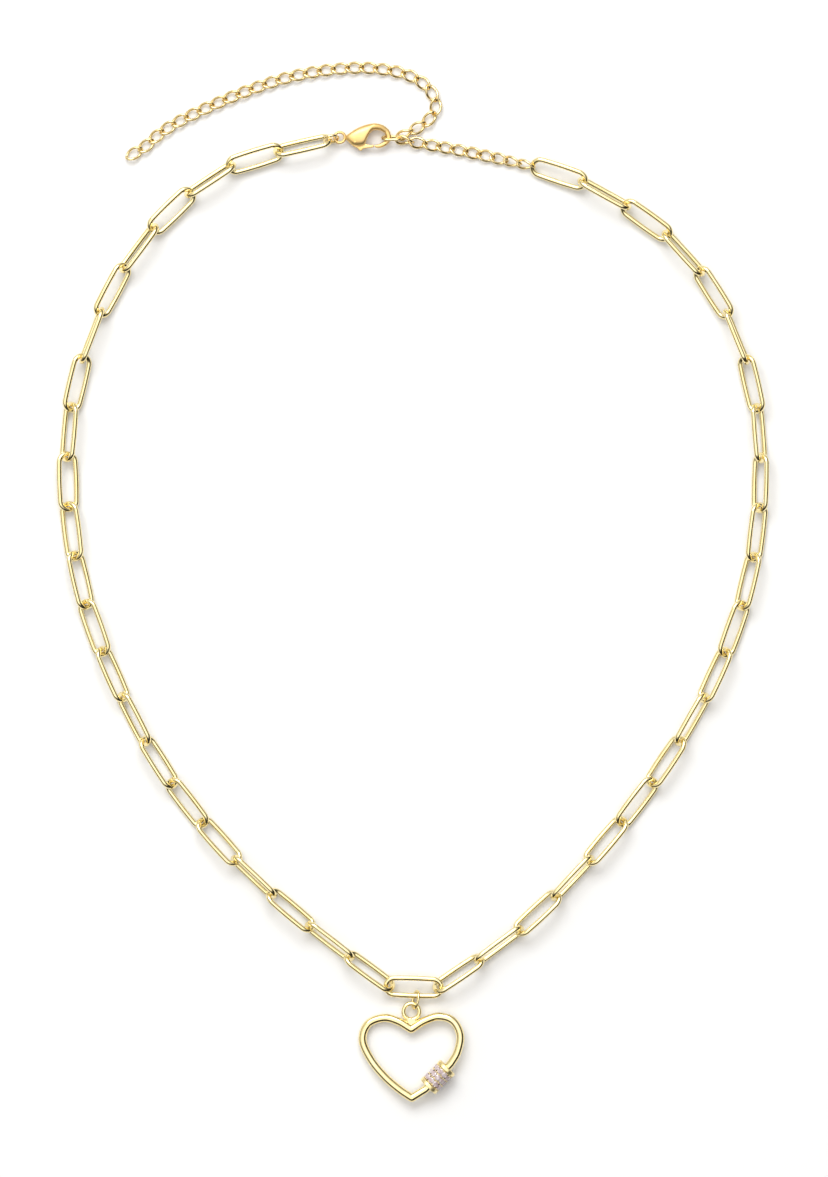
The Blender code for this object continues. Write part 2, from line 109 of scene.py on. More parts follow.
# Lobster clasp: opposite points of its outline, and half its thickness there, from the neck to the hook's tip
CLASP_CENTRE = Vector((-8.09, 80.9, 1.25))
CLASP_RIBS = (
    ((-4.3, 0.2), (-4.3, -0.4), 0.5), ((-3.8, 0.5), (-3.8, -0.85), 0.9),
    ((-3.0, 1.1), (-3.15, -1.5), 1.15), ((-2.2, 1.58), (-2.35, -1.78), 1.25),
    ((-1.45, 1.9), (-1.5, -1.75), 1.25), ((-0.7, 2.18), (-0.85, -1.5), 1.25),
    ((0.0, 2.35), (-0.58, -0.9), 1.22), ((0.5, 2.43), (-0.18, 0.1), 1.18),
    ((0.95, 2.47), (0.45, 0.98), 1.1), ((1.4, 2.45), (1.27, 1.27), 1.0),
    ((2.1, 2.3), (1.75, 1.25), 0.88), ((2.73, 2.05), (2.15, 1.13), 0.76),
    ((3.3, 1.6), (2.6, 0.9), 0.62), ((3.73, 1.13), (2.86, 0.67), 0.52),
    ((4.05, 0.0), (3.12, -0.05), 0.45), ((3.64, -1.1), (2.8, -0.75), 0.45),
    ((2.55, -1.85), (1.95, -1.25), 0.45), ((1.6, -2.03), (1.4, -1.38), 0.43),
    ((1.0, -1.85), (1.05, -1.44), 0.34),
)
CLASP_SQUARENESS = 0.72  # power of a section's sine and cosine: 1 is an ellipse, less is squarer
RIVET_AT = (-2.5, -0.95)
RIVET_ENDS = (0.12, 2.36)
RIVET_RADIUS = 0.3
RIVET_DOME = 0.1
SPRING_RADIUS = 0.48
SPRING_WIRE = 0.08
SPRING_TURNS = 2.5
SPRING_RISE = 0.03  # for each half turn
SPRING_GAP = 0.09  # from the gate up to the middle of the spring's first turn
LEVER_OUTLINE = (
    (-3.05, -0.85), (-2.6, -0.4), (-2.0, -0.45), (-0.9, -1.1), (0.1, -1.45), (0.84, -1.45), (0.84, -1.88),
    (0.0, -2.0), (-1.05, -2.15), (-1.35, -2.5), (-1.75, -2.45), (-2.05, -2.1), (-2.85, -1.7), (-3.1, -1.25),
)
SLOT_BOX = ((-3.4, -3.2), (1.0, 0.15))
SLOT_HEIGHT = 1.1
LEVER_THICKNESS = 0.6
LEVER_ROUNDING = 0.12
CLASP_LOOP_AT = Vector((-13.4, 80.8, 1.25))
CLASP_LOOP_RADIUS = 0.95
CLASP_LOOP_WIRE = 0.5
CLASP_RING_AT = Vector((-14.96, 80.5, 1.5))
CLASP_RING_RADIUS = 1.25
CLASP_RING_WIRE = 0.5
CLASP_RING_LEAN = 65
CLASP_RING_GAP_AT = 1.9  # angle round the ring, in radians

# Heart pendant
HEART_WIRE = 1.5
BARREL_AT = Vector((4.42, -89.95, 0))
BARREL_ALONG = Vector((1, 1, 0)).normalized()
STUD_END = 0.9
THREAD_RADIUS = 0.7
THREAD_WIRE = 0.15
THREAD_PITCH = 0.22
THREAD_TURNS = 6
THREAD_INSET = 0.12  # from the stud's end to the thread's
SOCKET_END = 2.15
ENTRY_AT = 3.2  # where the wire turns straight for the stud, short of the barrel
HEART_TIP = (-0.3, -93.75)
HEART_NOTCH = (-0.38, -81.3)
HEART_LEFT = (
    HEART_TIP, (-2.6, -92.2), (-5.2, -89.95), (-7.7, -86.9), (-9.25, -83.4), (-8.3, -80.45), (-5.5, -79.3),
    (-2.9, -79.85), HEART_NOTCH,
)
HEART_RIGHT = (
    HEART_NOTCH, (2.0, -79.8), (4.6, -79.0), (7.2, -79.8), (8.5, -82.4), (8.0, -85.4), (6.85, -87.45),
)
HEART_STEP = 0.3
CORNER_CUT = 0.1  # how far from a corner the wire starts to turn, which rounds its edge a little
BAIL_AT = (-0.38, -78.1)
BAIL_RADIUS = 1.45
BAIL_WIRE = 0.75
NECK_RAISE = 0.1  # how far its ends lie above the centre lines of the ring's lowest point and the notch
NECK_HALF_WIDTHS = (1.2, 0.3)  # at the top, and how much less at the foot
NECK_DEPTHS = (0.9, 0.5)  # in bail wires at the top, and how much more at the foot
HEART_HEIGHT = 1.3
HEART_RISE_X = 0.055
HEART_RISE_Y = -0.0505
BARREL_LENGTH = 5.1
BARREL_RADIUS = 1.92
BARREL_BORE = 0.95
BORE_LEAD_IN = (0.22, 1.1)  # how much wider the bore is at its mouths, and how far in that reaches
FLANGE_LENGTH = 0.75
FLANGE_ROUNDING = 0.1
BARREL_WAIST = 1.5  # radius between the flanges, under the stones' seat
RING_SIDES = 72
PENDANT_RING_AT = Vector((0.38, -75.97, 1.27))
PENDANT_RING_ALONG = Vector((-0.2, -1.0, 0))
PENDANT_RING_HALF = (1.59, 1.1)
PENDANT_RING_LEAN = 65
PENDANT_RING_WIRE = 0.5
PENDANT_RING_GAP_AT = 1.5
RING_GAP = 0.035

# Stone band: a seat round the barrel's waist, rows of stones on it, and beads between them
SEAT_DEPTH = 0.36  # below the flanges' rims
SEAT_BORE = 1.56
SEAT_GAP = 0.06
STONE_ROWS = 3
STONES_ROUND = 10
STONE_FILL = 0.49  # a stone's radius, as a share of its row
STONE_LEVELS = (  # share of the stone's radius, height over the seat, corners, and turn in corners
    (0.0, -0.02, 1, 0.0),
    (1.0, 0.12, 16, 0.0),
    (1.0, 0.16, 16, 0.0),
    (0.8, 0.235, 8, 0.0),
    (0.55, 0.29, 8, 0.5),
)
BEAD_RADIUS = 0.14
BEAD_STAND = 0.16  # from the seat out to a bead's middle
BEAD_MARGIN = 0.12  # least distance of a bead's middle from the seat's ends

BODY_OF = {node: body for body, nodes in frame["record"]["behaviour"]["bodies"].items() for node in nodes}


# ---------------------------------------------------------------- materials

def nodes_of(name):
    """A new material, its node tree and its shader."""
    made = bpy.data.materials.new(name)
    made.use_nodes = True
    tree = made.node_tree
    return made, tree, tree.nodes["Principled BSDF"]


def noise(tree, scale, detail=4.0, roughness=0.6):
    """Noise of the given scale over the object's own coordinates."""
    where = tree.nodes.new("ShaderNodeTexCoord")
    found = tree.nodes.new("ShaderNodeTexNoise")
    found.inputs["Scale"].default_value = scale
    found.inputs["Detail"].default_value = detail
    found.inputs["Roughness"].default_value = roughness
    tree.links.new(where.outputs["Object"], found.inputs["Vector"])
    return found.outputs["Fac"]


def spread(tree, value, low, high):
    """Stretches the range that a noise fills to low..high."""
    ramp = tree.nodes.new("ShaderNodeMapRange")
    ramp.inputs["From Min"].default_value = NOISE_RANGE[0]
    ramp.inputs["From Max"].default_value = NOISE_RANGE[1]
    ramp.inputs["To Min"].default_value = low
    ramp.inputs["To Max"].default_value = high
    tree.links.new(value, ramp.inputs["Value"])
    return ramp.outputs["Result"]


def blended(tree, value, first, second):
    """A colour that goes from the first to the second as the value goes from 0 to 1."""
    mix = tree.nodes.new("ShaderNodeMix")
    mix.data_type = "RGBA"
    mix.inputs["A"].default_value = (*first, 1)
    mix.inputs["B"].default_value = (*second, 1)
    tree.links.new(value, mix.inputs["Factor"])
    return mix.outputs["Result"]


def polished_metal(name, colour, deeper, roughness, grain, bump):
    """Plated metal: colour drifts a little, fine polishing marks vary the gloss, and the surface ripples."""
    made, tree, shader = nodes_of(name)
    shader.inputs["Metallic"].default_value = 1.0
    drift = spread(tree, noise(tree, 260, 3), 0.0, 1.0)
    tree.links.new(blended(tree, drift, colour, deeper), shader.inputs["Base Color"])
    marks = noise(tree, grain, 6, 0.7)
    tree.links.new(spread(tree, marks, *roughness), shader.inputs["Roughness"])
    ripple = tree.nodes.new("ShaderNodeBump")
    ripple.inputs["Strength"].default_value = bump
    ripple.inputs["Distance"].default_value = RIPPLE_HEIGHT
    tree.links.new(marks, ripple.inputs["Height"])
    tree.links.new(ripple.outputs["Normal"], shader.inputs["Normal"])
    return made


def stone_material():
    made, tree, shader = nodes_of("cut_stone")
    shader.inputs["IOR"].default_value = 2.15
    shader.inputs["Transmission Weight"].default_value = 0.35
    # The patches from pale pink to dark pinkish brown in this colour are painted shade and painted
    # reflection, standing in for what the clear stones show
    tint = spread(tree, noise(tree, 1500, 2), 0.0, 1.0)
    colour = blended(tree, tint, (1.0, 0.92, 0.94), (0.62, 0.40, 0.42))
    tree.links.new(colour, shader.inputs["Base Color"])
    tree.links.new(spread(tree, noise(tree, 9000, 3), 0.02, 0.06), shader.inputs["Roughness"])
    return made


def floor_material():
    made, tree, shader = nodes_of("pale_floor")
    tone = spread(tree, noise(tree, 8, 2), 0.0, 1.0)
    colour = blended(tree, tone, (0.92, 0.92, 0.92), (0.905, 0.905, 0.905))
    tree.links.new(colour, shader.inputs["Base Color"])
    shader.inputs["Roughness"].default_value = 0.6
    shader.inputs["Specular IOR Level"].default_value = 0.1
    return made


GOLD = polished_metal("pale_gold", (0.95, 0.83, 0.48), (0.93, 0.77, 0.38), (0.10, 0.18), 5200, 0.06)
CURB_GOLD = polished_metal("curb_gold", (0.93, 0.77, 0.42), (0.88, 0.66, 0.28), (0.12, 0.22), 6400, 0.10)
WARM_GOLD = polished_metal("warm_gold", (0.88, 0.63, 0.28), (0.81, 0.55, 0.20), (0.36, 0.48), 7000, 0.30)
SLEEVE_GOLD = polished_metal("sleeve_gold", (0.97, 0.84, 0.48), (0.94, 0.77, 0.38), (0.30, 0.40), 5200, 0.10)
HEART_GOLD = polished_metal("heart_gold", (0.95, 0.83, 0.47), (0.93, 0.77, 0.38), (0.06, 0.11), 3600, 0.03)
STEEL = polished_metal("spring_steel", (0.62, 0.61, 0.58), (0.52, 0.51, 0.49), (0.22, 0.36), 6000, 0.2)
STONE = stone_material()


# ---------------------------------------------------------------- mesh helpers

def make_object(name, bm, material, sharp=None):
    """An object from a bmesh made in millimetres."""
    bmesh.ops.recalc_face_normals(bm, faces=bm.faces)
    bmesh.ops.scale(bm, vec=(MM, MM, MM), verts=bm.verts)
    mesh = bpy.data.meshes.new(name)
    bm.to_mesh(mesh)
    bm.free()
    mesh.shade_smooth()
    if sharp is not None:
        mesh.set_sharp_from_angle(angle=math.radians(sharp))
    mesh.materials.append(material)
    obj = bpy.data.objects.new(name, mesh)
    bpy.context.scene.collection.objects.link(obj)
    return obj


def place(piece, body, slot, *nodes):
    """The piece rides on a body and stands for the CAD nodes given, which it hides. slot is not used."""
    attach(piece, body)
    if nodes:
        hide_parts(*nodes)
    return piece


def skin(bm, rings, closed=False):
    """Joins each ring of points to the next, and the last to the first or else caps both ends."""
    for ring, following in zip(rings, rings[1:] + rings[:1] if closed else rings[1:]):
        for k in range(len(ring)):
            bm.faces.new((ring[k], ring[k - 1], following[k - 1], following[k]))
    if not closed:
        bm.faces.new(rings[0])
        bm.faces.new(rings[-1][::-1])


def tube(bm, line, radius, sides, closed=True, outward=None, square=0.0, mitred=False):
    """Sweeps a wire along a line. outward(point) gives the side that its section keeps to, square flattens
    the section's four sides a little, and mitred widens the section at a corner, so that the wire keeps its
    thickness there."""
    rings = []
    count = len(line)
    for i, point in enumerate(line):
        before = line[i - 1] if closed or i else point
        after = line[(i + 1) % count] if closed or i < count - 1 else point
        along = (after - before).normalized()
        if mitred and before != point != after:
            along = ((after - point).normalized() + (point - before).normalized()).normalized()
        side = outward(point)
        side = (side - side.dot(along) * along).normalized()
        top = along.cross(side)
        if mitred and before != point != after:
            top /= along.dot((after - point).normalized())
        ring = []
        for k in range(sides):
            a = 2 * math.pi * k / sides
            reach = radius * (1 - square * 0.5 * (1 + math.cos(4 * a)))
            ring.append(bm.verts.new(point + reach * (math.cos(a) * side + math.sin(a) * top)))
        rings.append(ring)
    skin(bm, rings, closed)


def smooth_route(points, steps=24):
    """Points along a smooth curve through the given ones (Catmull-Rom)."""
    knots = [Vector(p).to_3d() for p in points]
    knots = [2 * knots[0] - knots[1], *knots, 2 * knots[-1] - knots[-2]]
    route = []
    for a, b, c, d in zip(knots, knots[1:], knots[2:], knots[3:]):
        for i in range(steps):
            t = i / steps
            route.append(
                0.5 * (2 * b + (c - a) * t + (2 * a - 5 * b + 4 * c - d) * t**2
                       + (3 * b - a - 3 * c + d) * t**3)
            )
    return [*route, knots[-2]]


def walk(route, spacings):
    """The route's first point, then one point for each spacing, each that far from the one before."""
    run_on, halvings = 50, 40
    found, i = [route[0]], 0
    end = route[-1] + (route[-1] - route[-2]).normalized() * run_on
    route = [*route, end]
    for spacing in spacings:
        here = found[-1]
        while (route[i + 1] - here).length < spacing:
            i += 1
        a, b = route[i], route[i + 1]
        low, high = 0.0, 1.0
        for _ in range(halvings):
            middle = (low + high) / 2
            if (a.lerp(b, middle) - here).length < spacing:
                low = middle
            else:
                high = middle
        found.append(a.lerp(b, high))
    return found


def even_route(points, step):
    """A smooth curve through the points, as points about one step apart, its two ends among them."""
    route = smooth_route([(x, y, 0) for x, y in points])
    length = sum((b - a).length for a, b in zip(route, route[1:]))
    count = round(length / step)
    return [*walk(route, [length / count] * (count - 1)), route[-1]]


def axes(direction, lean):
    """Rotation whose X runs along direction and whose Y leans by lean degrees out of the level."""
    along = direction.normalized()
    level = UP.cross(along).normalized()
    across = Matrix.Rotation(math.radians(lean), 3, along) @ level
    return Matrix((along, across, along.cross(across))).transposed()


def oval(length, width, end_points, side_points=0, bow=0.0):
    """Centre line of an oval: half circles joined by sides that bow out a little, in the XY plane."""
    radius, straight = width / 2, (length - width) / 2
    points = []
    for side in (1, -1):
        for i in range(end_points):
            turn = math.pi * (i / (end_points - 1) - 0.5)
            x, y = straight + radius * math.cos(turn), radius * math.sin(turn)
            points.append(Vector((side * x, side * y, 0)))
        for i in range(1, side_points + 1):
            t = i / (side_points + 1)
            lift = 1 + bow * math.sin(math.pi * t)
            points.append(Vector((side * straight * (1 - 2 * t), side * radius * lift, 0)))
    return points


# ---------------------------------------------------------------- paperclip links

def link_axes(node):
    """Centre and rotation of a link, from its solid's own points: X along it, Y across it."""
    points = np.array([v.co for v in frame["nodes"][node].data.vertices]) / MM
    middle = points.mean(0)
    _, _, ways = np.linalg.svd(points - middle, full_matrices=False)
    along, across = (Vector(w) for w in ways[:2])
    turn = Matrix((along, across, along.cross(across))).transposed()
    local = (points - middle) @ np.array(turn)
    centre = middle + np.array(turn) @ ((local.max(0) + local.min(0)) / 2)
    return Vector(centre), turn


def build_paperclip_links():
    length, width = LINK_LENGTH - LINK_WIRE, LINK_WIDTH - LINK_WIRE
    line = oval(length, width, 21, 31, LINK_BOW)
    for node, body in BODY_OF.items():
        if not (node.startswith("link_") or node == "centre_link"):
            continue
        centre, turn = link_axes(node)
        bm = bmesh.new()
        route = [turn @ p + centre for p in line]
        tube(bm, route, LINK_WIRE / 2, 20, outward=lambda p: p - centre, square=0.03)
        place(make_object(f"{node}_wire", bm, GOLD), body, "gold", node)


# ---------------------------------------------------------------- curb links

def curb_oval(points):
    """Centre line of a curb link: an oval, with its ends twisted opposite ways about its length."""
    line = []
    for i in range(points):
        turn = 2 * math.pi * i / points
        x, y = math.cos(turn), CURB_WIDTH / 2 * math.sin(turn)
        tilt = math.radians(CURB_TWIST) * x
        line.append(Vector((x * CURB_LENGTH / 2, y * math.cos(tilt), y * math.sin(tilt))))
    return line


def curb_link(name, centre, direction, lean):
    """One curb link, X along its direction and leaning about it."""
    turn = axes(direction, lean)
    line = [turn @ p + centre for p in curb_oval(36)]
    bm = bmesh.new()
    tube(bm, line, CURB_WIRE / 2, 14, outward=lambda p: p - centre, square=0.05)
    return make_object(name, bm, CURB_GOLD)


def curb_chain(word, route, pitch, leans, heights, bodies, group):
    """Curb links along a route. Each stretch of group links rides on the next of the bodies."""
    spots = walk(smooth_route(route), [pitch] * (len(leans) - 1))
    for spot, height in zip(spots, [*heights] + [heights[-1]] * len(spots)):
        spot.z = height
    ways = [b - a for a, b in zip(spots, spots[1:])]
    ways = [ways[0], *[a + b for a, b in zip(ways, ways[1:])], ways[-1]]
    for i, (spot, way, lean) in enumerate(zip(spots, ways, leans)):
        body = bodies[i // group]
        piece = curb_link(f"{word}_{i + 1:02d}", spot, way, lean)
        place(piece, body, "gold", body)


def build_extender():
    low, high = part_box("extender_hooked_link")
    centre = (low + high) / 2 / MM
    bm = bmesh.new()
    turn = axes(Vector((1, 0, 0)), HOOKED_LINK_LEAN)
    line = [turn @ p + centre for p in oval(HOOKED_LINK_LENGTH, CURB_WIDTH, 15, 5)]
    tube(bm, line, CURB_WIRE / 2, 14, outward=lambda p: p - centre, square=0.05)
    hooked = make_object("hooked_curb_link", bm, CURB_GOLD)
    place(hooked, "extender_hooked_link", "gold", "extender_hooked_link")
    curb_chain("run_link", RUN_ROUTE, RUN_PITCH, RUN_LEANS, RUN_HEIGHTS,
               ("extender_run_inner", "extender_run_outer"), RUN_GROUP)
    leans = [*TAIL_LEANS] + [0] * (TAIL_COUNT - len(TAIL_LEANS))
    bodies = [f"extender_tail_{i + 1}" for i in range(TAIL_COUNT // TAIL_GROUP)]
    curb_chain("tail_link", TAIL_ROUTE, TAIL_PITCH, leans, TAIL_HEIGHTS, bodies, TAIL_GROUP)


# ---------------------------------------------------------------- clasp

def smooth_values(values, steps):
    """The same smooth curve as a route takes, for plain numbers."""
    return [p.x for p in smooth_route([(v, 0, 0) for v in values], steps)]


def cutter(bm, name):
    """A shape for a Boolean to cut away or to add, hidden from renders."""
    obj = make_object(name, bm, WARM_GOLD)
    obj.hide_render = True
    return obj


def boolean(obj, other, operation):
    """Applies a Boolean and removes the other object."""
    step = obj.modifiers.new("cut", "BOOLEAN")
    step.operation = operation
    step.solver = "EXACT"
    step.object = other
    bpy.context.view_layer.update()
    graph = bpy.context.evaluated_depsgraph_get()
    made = bpy.data.meshes.new_from_object(obj.evaluated_get(graph))
    obj.modifiers.clear()
    obj.data = made
    bpy.data.objects.remove(other, do_unlink=True)


def box_bmesh(low, high):
    """A box between its lowest and highest corners."""
    bm = bmesh.new()
    size = [b - a for a, b in zip(low, high)]
    middle = [(a + b) / 2 for a, b in zip(low, high)]
    bmesh.ops.create_cube(bm, size=1, matrix=Matrix.Translation(middle) @ Matrix.Diagonal((*size, 1)))
    return bm


def clasp_shell():
    """The cast body: domed sections between opposite points of its outline, from neck to hook's tip."""
    steps, sides = 5, 28
    outer = smooth_route([(*o, 0) for o, _, _ in CLASP_RIBS], steps)
    inner = smooth_route([(*i, 0) for _, i, _ in CLASP_RIBS], steps)
    halves = smooth_values([h for _, _, h in CLASP_RIBS], steps)
    bm = bmesh.new()
    rings = []
    for o, i, half in zip(outer, inner, halves):
        middle, reach = (o + i) / 2 + CLASP_CENTRE, (o - i) / 2
        ring = []
        for k in range(sides):
            a = 2 * math.pi * k / sides
            c, s = math.cos(a), math.sin(a)
            u = math.copysign(abs(c) ** CLASP_SQUARENESS, c)
            v = math.copysign(abs(s) ** CLASP_SQUARENESS, s)
            ring.append(bm.verts.new(middle + u * reach + v * half * UP))
        rings.append(ring)
    skin(bm, rings)
    return make_object("clasp_shell", bm, WARM_GOLD)


def rounded_plate(name, outline, low, high, bevel, material):
    """A plate with a smooth outline and rounded edges."""
    ring = smooth_route([*outline, outline[0]], 4)[:-1]
    bm = bmesh.new()
    face = bm.faces.new([bm.verts.new((p.x, p.y, low)) for p in ring])
    raised = bmesh.ops.extrude_face_region(bm, geom=[face])["geom"]
    tops = [v for v in raised if isinstance(v, bmesh.types.BMVert)]
    bmesh.ops.translate(bm, vec=(0, 0, high - low), verts=tops)
    rims = [e for e in bm.edges if len(e.link_faces) == 2 and e.calc_face_angle(0) > 1.0]
    bmesh.ops.bevel(bm, geom=rims, offset=bevel, segments=3, profile=0.5, affect="EDGES")
    return make_object(name, bm, material, 60)


def domed_pin(bm, x, y, low, high, radius, dome, sides=24):
    """A round pin with a domed head at both ends."""
    profile = [(0.0, low - dome), (0.6 * radius, low - 0.7 * dome), (radius, low), (radius, high),
               (0.6 * radius, high + 0.7 * dome), (0.0, high + dome)]
    spin_profile(bm, profile, Matrix.Translation((x, y, 0)), sides)


def spin_profile(bm, profile, where, sides):
    """Turns (radius, height) points about Z, and closes points that lie on the axis."""
    rings = []
    for radius, height in profile:
        if radius < 1e-6:
            rings.append([bm.verts.new(where @ Vector((0, 0, height)))])
        else:
            rings.append([
                bm.verts.new(where @ Vector((radius * math.cos(a), radius * math.sin(a), height)))
                for a in (2 * math.pi * k / sides for k in range(sides))
            ])
    for a, b in zip(rings, rings[1:]):
        for k in range(sides):
            if len(a) == 1:
                bm.faces.new((a[0], b[k], b[k - 1]))
            elif len(b) == 1:
                bm.faces.new((a[k - 1], a[k], b[0]))
            else:
                bm.faces.new((a[k - 1], a[k], b[k], b[k - 1]))
    return rings


def turned_ring(bm, profile, where):
    """Turns a profile that doesn't touch the axis, and joins its last circle to its first."""
    rings = spin_profile(bm, profile, where, RING_SIDES)
    for k in range(RING_SIDES):
        bm.faces.new((rings[-1][k - 1], rings[-1][k], rings[0][k], rings[0][k - 1]))


def split_ring(name, centre, turn, half_long, half_wide, wire, material, gap_at):
    """A jump ring: wire bent round until its two ends nearly meet."""
    count = 56
    opening = RING_GAP / ((half_long + half_wide) / 2)
    line = []
    for i in range(count):
        a = gap_at + opening / 2 + (2 * math.pi - opening) * i / (count - 1)
        line.append(turn @ Vector((half_long * math.cos(a), half_wide * math.sin(a), 0)) + centre)
    bm = bmesh.new()
    tube(bm, line, wire / 2, 18, closed=False, outward=lambda p: p - centre)
    return make_object(name, bm, material, 60)


def build_clasp_body():
    """The cast body, with the slot for its gate cut out and its end loop joined on."""
    body = clasp_shell()
    (x0, y0), (x1, y1) = SLOT_BOX
    low = (x0 + CLASP_CENTRE.x, y0 + CLASP_CENTRE.y, CLASP_CENTRE.z - SLOT_HEIGHT / 2)
    high = (x1 + CLASP_CENTRE.x, y1 + CLASP_CENTRE.y, CLASP_CENTRE.z + SLOT_HEIGHT / 2)
    boolean(body, cutter(box_bmesh(low, high), "slot_cut"), "DIFFERENCE")
    loop = bmesh.new()
    line = [p + CLASP_LOOP_AT for p in oval(2 * CLASP_LOOP_RADIUS, 2 * CLASP_LOOP_RADIUS, 25)]
    tube(loop, line, CLASP_LOOP_WIRE / 2, 16, outward=lambda p: p - CLASP_LOOP_AT)
    boolean(body, cutter(loop, "end_loop"), "UNION")
    body.name = "clasp_cast_body"
    body.data.set_sharp_from_angle(angle=math.radians(55))
    place(body, "clasp", "warm_gold", "clasp_body")


def build_gate():
    outline = [(x + CLASP_CENTRE.x, y + CLASP_CENTRE.y) for x, y in LEVER_OUTLINE]
    half = LEVER_THICKNESS / 2
    low, high = CLASP_CENTRE.z - half, CLASP_CENTRE.z + half
    lever = rounded_plate("clasp_gate", outline, low, high, LEVER_ROUNDING, WARM_GOLD)
    place(lever, "clasp_lever", "warm_gold", "clasp_lever")


def rivet_place():
    return RIVET_AT[0] + CLASP_CENTRE.x, RIVET_AT[1] + CLASP_CENTRE.y


def build_rivet():
    bm = bmesh.new()
    domed_pin(bm, *rivet_place(), *RIVET_ENDS, RIVET_RADIUS, RIVET_DOME)
    place(make_object("clasp_rivet_pin", bm, WARM_GOLD, 40), "clasp", "warm_gold", "clasp_rivet")


def build_spring():
    """A small coil round the rivet, on top of the gate."""
    x, y = rivet_place()
    steps = 60
    base = CLASP_CENTRE.z + LEVER_THICKNESS / 2 + SPRING_GAP
    line = [
        Vector((x + SPRING_RADIUS * math.cos(a), y + SPRING_RADIUS * math.sin(a),
                base + SPRING_RISE * a / math.pi))
        for a in (2 * math.pi * SPRING_TURNS * i / steps for i in range(steps))
    ]
    bm = bmesh.new()
    tube(bm, line, SPRING_WIRE / 2, 8, closed=False, outward=lambda p: p - Vector((x, y, p.z)))
    place(make_object("clasp_coil_spring", bm, STEEL), "clasp", "spring_steel", "clasp_spring")


def build_clasp_ring():
    along = CLASP_LOOP_AT - CLASP_RING_AT
    along.z = 0
    ring = split_ring("clasp_ring_wire", CLASP_RING_AT, axes(along, CLASP_RING_LEAN), CLASP_RING_RADIUS,
                      CLASP_RING_RADIUS, CLASP_RING_WIRE, CURB_GOLD, CLASP_RING_GAP_AT)
    place(ring, "clasp_jump_ring", "warm_gold", "clasp_jump_ring")


# ---------------------------------------------------------------- heart pendant

def on_heart(point):
    """A point of the heart's outline, raised to the leaning plane that the heart lies in."""
    x, y = point[0], point[1]
    return Vector((x, y, HEART_HEIGHT + HEART_RISE_X * (x - BAIL_AT[0]) + HEART_RISE_Y * (y - BAIL_AT[1])))


def barrel_place():
    """Matrix that puts a shape turned about Z onto the barrel's axis."""
    along = (on_heart(BARREL_AT + BARREL_ALONG) - on_heart(BARREL_AT)).normalized()
    turn = along.to_track_quat("Z", "Y").to_matrix().to_4x4()
    return Matrix.Translation(on_heart(BARREL_AT)) @ turn


def eased(line, corners):
    """The line with each of the corners replaced by a short bend of five points."""
    made = []
    for i, point in enumerate(line):
        if point not in corners or not 0 < i < len(line) - 1:
            made.append(point)
            continue
        first = point + (line[i - 1] - point).normalized() * CORNER_CUT
        last = point + (line[i + 1] - point).normalized() * CORNER_CUT
        for k in range(5):
            t = k / 4
            made.append((1 - t) ** 2 * first + 2 * t * (1 - t) * point + t**2 * last)
    return made


def bail_neck():
    """The foot of the bail: a wedge that fills the V between the ring's lower edge and the heart's notch."""
    bm = bmesh.new()
    top = on_heart((BAIL_AT[0], BAIL_AT[1] - BAIL_RADIUS + NECK_RAISE))
    foot = on_heart((BAIL_AT[0], HEART_NOTCH[1] + NECK_RAISE))
    rings = []
    levels, sides = 9, 20
    for i in range(levels):
        t = i / (levels - 1)
        middle = top.lerp(foot, t)
        across = NECK_HALF_WIDTHS[0] - NECK_HALF_WIDTHS[1] * t
        deep = BAIL_WIRE / 2 * (NECK_DEPTHS[0] + NECK_DEPTHS[1] * t)
        rings.append([
            bm.verts.new(middle + Vector((across * math.cos(a), 0, deep * math.sin(a))))
            for a in (2 * math.pi * k / sides for k in range(sides))
        ])
    skin(bm, rings)
    return make_object("bail_neck", bm, HEART_GOLD, 60)


def build_heart_wire():
    """The heart's wire, from the barrel's socket round both lobes and the tip to the stud's end."""
    stud = BARREL_AT + BARREL_ALONG * STUD_END
    socket = BARREL_AT + BARREL_ALONG * SOCKET_END
    entry = BARREL_AT - BARREL_ALONG * ENTRY_AT
    right = even_route(HEART_RIGHT[::-1], HEART_STEP)
    left = even_route(HEART_LEFT[::-1], HEART_STEP)
    corners = (right[-1], left[-1], entry)
    line = [on_heart(p) for p in eased((socket, *right, *left[1:], entry, stud), corners)]
    normal = Vector((-HEART_RISE_X, -HEART_RISE_Y, 1)).normalized()
    bm = bmesh.new()
    tube(bm, line, HEART_WIRE / 2, 32, False, lambda p: normal, mitred=True)
    heart = make_object("heart_wire", bm, HEART_GOLD, 60)
    place(heart, "heart_frame", "gold", "heart_frame")


def build_bail():
    centre = on_heart(BAIL_AT)
    bm = bmesh.new()
    turn = axes(Vector((1, 0, 0)), 0)
    line = [turn @ p + centre for p in oval(2 * BAIL_RADIUS, 2 * BAIL_RADIUS, 29)]
    tube(bm, line, BAIL_WIRE / 2, 18, outward=lambda p: p - centre)
    place(make_object("bail_ring", bm, HEART_GOLD), "heart_frame", "gold")
    place(bail_neck(), "heart_frame", "gold")


def build_stud_thread():
    """The stud's thread: a helix of thin wire that stands a little proud of it."""
    bm = bmesh.new()
    where = barrel_place()
    steps = 24
    line = []
    for i in range(THREAD_TURNS * steps):
        a = 2 * math.pi * i / steps
        h = STUD_END - THREAD_INSET - THREAD_PITCH * i / steps
        line.append(where @ Vector((THREAD_RADIUS * math.cos(a), THREAD_RADIUS * math.sin(a), h)))
    axis_at = where @ Vector((0, 0, 0))
    axis_way = (where.to_3x3() @ UP).normalized()
    tube(bm, line, THREAD_WIRE / 2, 8, closed=False,
         outward=lambda p: (p - axis_at) - (p - axis_at).dot(axis_way) * axis_way)
    place(make_object("stud_thread", bm, HEART_GOLD), "heart_frame", "gold")


